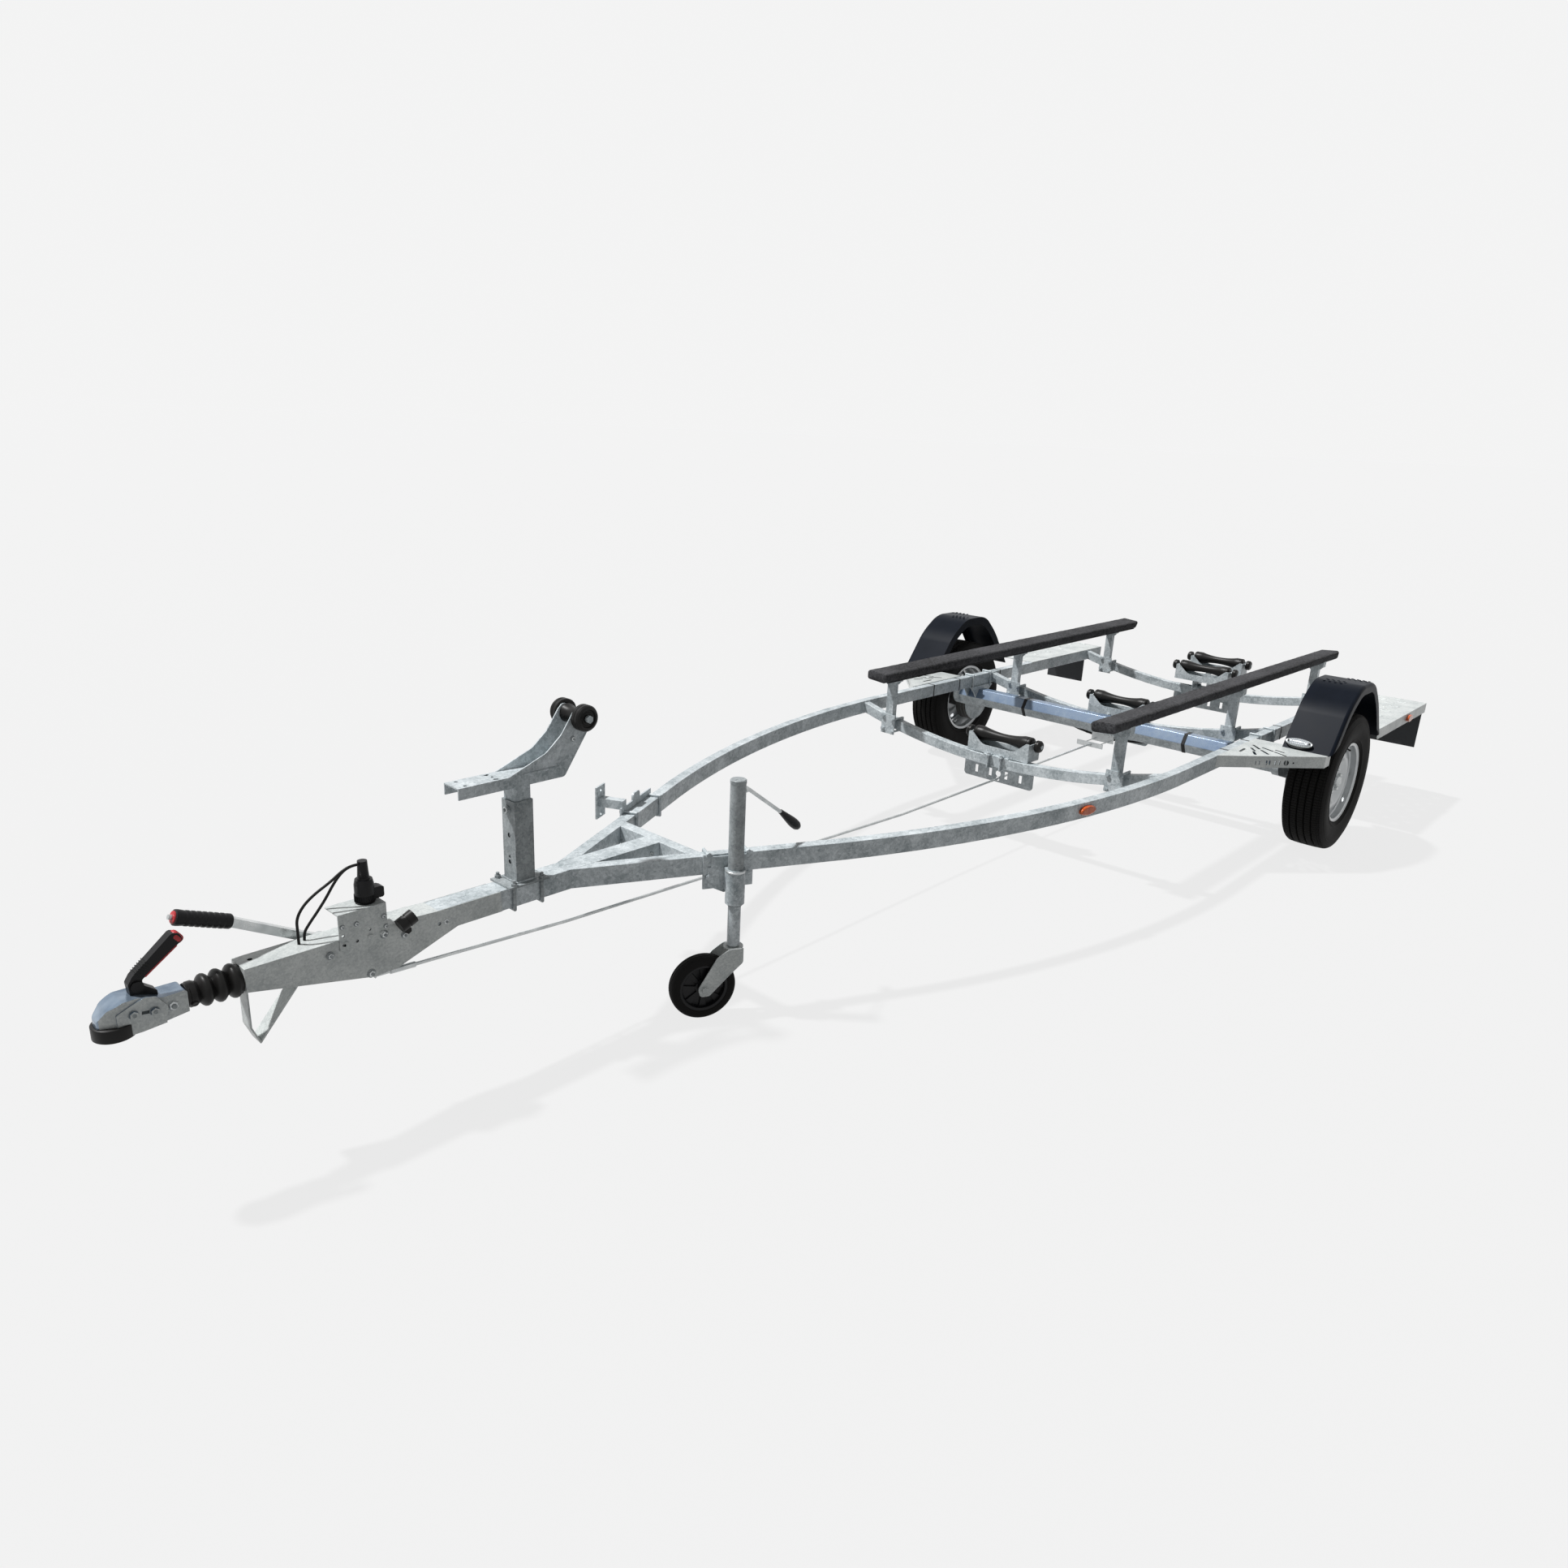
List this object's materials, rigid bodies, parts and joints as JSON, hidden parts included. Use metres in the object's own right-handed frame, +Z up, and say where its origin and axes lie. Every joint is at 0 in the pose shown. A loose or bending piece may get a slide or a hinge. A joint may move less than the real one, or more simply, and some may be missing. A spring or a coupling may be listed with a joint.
{
  "type": "boat trailer",
  "caption": "Single-axle galvanised boat trailer with overrun coupling, bow roller post, keel rollers, carpeted bunks, mudguards and jockey wheel, parked on its jockey wheel.",
  "frame": {"origin": "on the floor under the middle of the trailer's length, on its centreline", "axes": "+X forward to the coupling, +Y to the left, +Z up"},
  "size_m": [6.06, 2.296, 1.006],
  "materials": {
    "galvanised": "satin",
    "zinc": "satin",
    "black_plastic": "matte",
    "rubber": "matte",
    "tyre": "matte",
    "rim_silver": "gloss",
    "carpet": "matte",
    "amber": "gloss",
    "clear_lens": "gloss",
    "red_lens": "gloss"
  },
  "bodies": {
    "trailer": {"drawbar": "galvanised", "side_rail_left": "galvanised", "side_rail_right": "galvanised", "cross_brace": "galvanised", "front_arc": "galvanised", "middle_arc": "galvanised", "rear_arc": "galvanised", "overrun_housing": "galvanised", "coupling_head": "zinc", "coupling_lever": "black_plastic", "nose_boot": "rubber", "bellows": "rubber", "handbrake_lever": "zinc", "parking_strap": "galvanised", "plug_holder": "galvanised", "plug": "black_plastic", "plug_lead": "rubber", "second_lead": "rubber", "rubber_buffer": "rubber", "brake_rod": "zinc", "brake_equaliser": "zinc", "brake_cables": "rubber", "axle_beam": "galvanised", "axle_saddles": "galvanised", "swing_arms": "galvanised", "mudguards": "black_plastic", "front_steps": "galvanised", "rear_steps": "galvanised", "lamp_boards": "black_plastic", "tail_lamps": "red_lens", "front_lamps": "clear_lens", "side_markers": "amber", "winch_post": "galvanised", "front_cradle": "galvanised", "middle_cradle": "galvanised", "rear_cradle": "galvanised", "bunk_left": "carpet", "bunk_right": "carpet", "bunk_posts": "galvanised", "spare_wheel_arm": "galvanised", "jockey_clamp": "galvanised", "jockey_tube": "galvanised", "jockey_crank": "zinc"},
    "left_wheel": {"wheel_left": "rim_silver", "tyre_left": "tyre"},
    "right_wheel": {"wheel_right": "rim_silver", "tyre_right": "tyre"},
    "jockey_inner": {"jockey_leg": "galvanised"},
    "jockey_swivel_fork": {"jockey_fork": "galvanised"},
    "jockey_roller": {"jockey_wheel": "rubber"},
    "bow_support": {"mast": "galvanised", "bow_arm": "galvanised"},
    "bow_spool": {"bow_roller": "rubber"},
    "front_keel_roller": {"keel_roller_front": "rubber"},
    "middle_keel_roller": {"keel_roller_middle": "rubber"},
    "rear_keel_roller": {"keel_roller_rear": "rubber"},
    "last_keel_roller": {"keel_roller_last": "rubber"}
  },
  "joints": [
    {"name": "wheel_left_spin", "type": "hinge", "parent": "trailer", "child": "left_wheel", "pos_m": [-1.76, 1.04, 0.322], "axis": [0, 1, 0], "continuous": true},
    {"name": "wheel_right_spin", "type": "hinge", "parent": "trailer", "child": "right_wheel", "pos_m": [-1.76, -1.04, 0.322], "axis": [0, 1, 0], "continuous": true},
    {"name": "jockey_extend", "type": "slide", "parent": "trailer", "child": "jockey_inner", "axis": [0, 0, 1], "range_m": [-0.1, 0.12]},
    {"name": "jockey_swivel", "type": "hinge", "parent": "jockey_inner", "child": "jockey_swivel_fork", "pos_m": [1.38, 0.28382, 0.236], "axis": [0, 0, 1], "continuous": true},
    {"name": "jockey_wheel_spin", "type": "hinge", "parent": "jockey_swivel_fork", "child": "jockey_roller", "pos_m": [1.46808, 0.24086, 0.105], "axis": [0.4384, 0.8988, 0], "continuous": true},
    {"name": "mast_height", "type": "slide", "parent": "trailer", "child": "bow_support", "axis": [0, 0, 1], "range_m": [-0.035, 0.15]},
    {"name": "bow_roller_spin", "type": "hinge", "parent": "bow_support", "child": "bow_spool", "pos_m": [1.76, 0, 0.968], "axis": [0, 1, 0], "continuous": true},
    {"name": "front_keel_roller_spin", "type": "hinge", "parent": "trailer", "child": "front_keel_roller", "pos_m": [-0.59, 0, 0.49], "axis": [0, 1, 0], "continuous": true},
    {"name": "middle_keel_roller_spin", "type": "hinge", "parent": "trailer", "child": "middle_keel_roller", "pos_m": [-1.723, 0, 0.498], "axis": [0, 1, 0], "continuous": true},
    {"name": "rear_keel_roller_spin", "type": "hinge", "parent": "trailer", "child": "rear_keel_roller", "pos_m": [-2.786, 0, 0.532], "axis": [0, 1, 0], "continuous": true},
    {"name": "last_keel_roller_spin", "type": "hinge", "parent": "trailer", "child": "last_keel_roller", "pos_m": [-2.982, 0, 0.559], "axis": [0, 1, 0], "continuous": true}
  ]
}
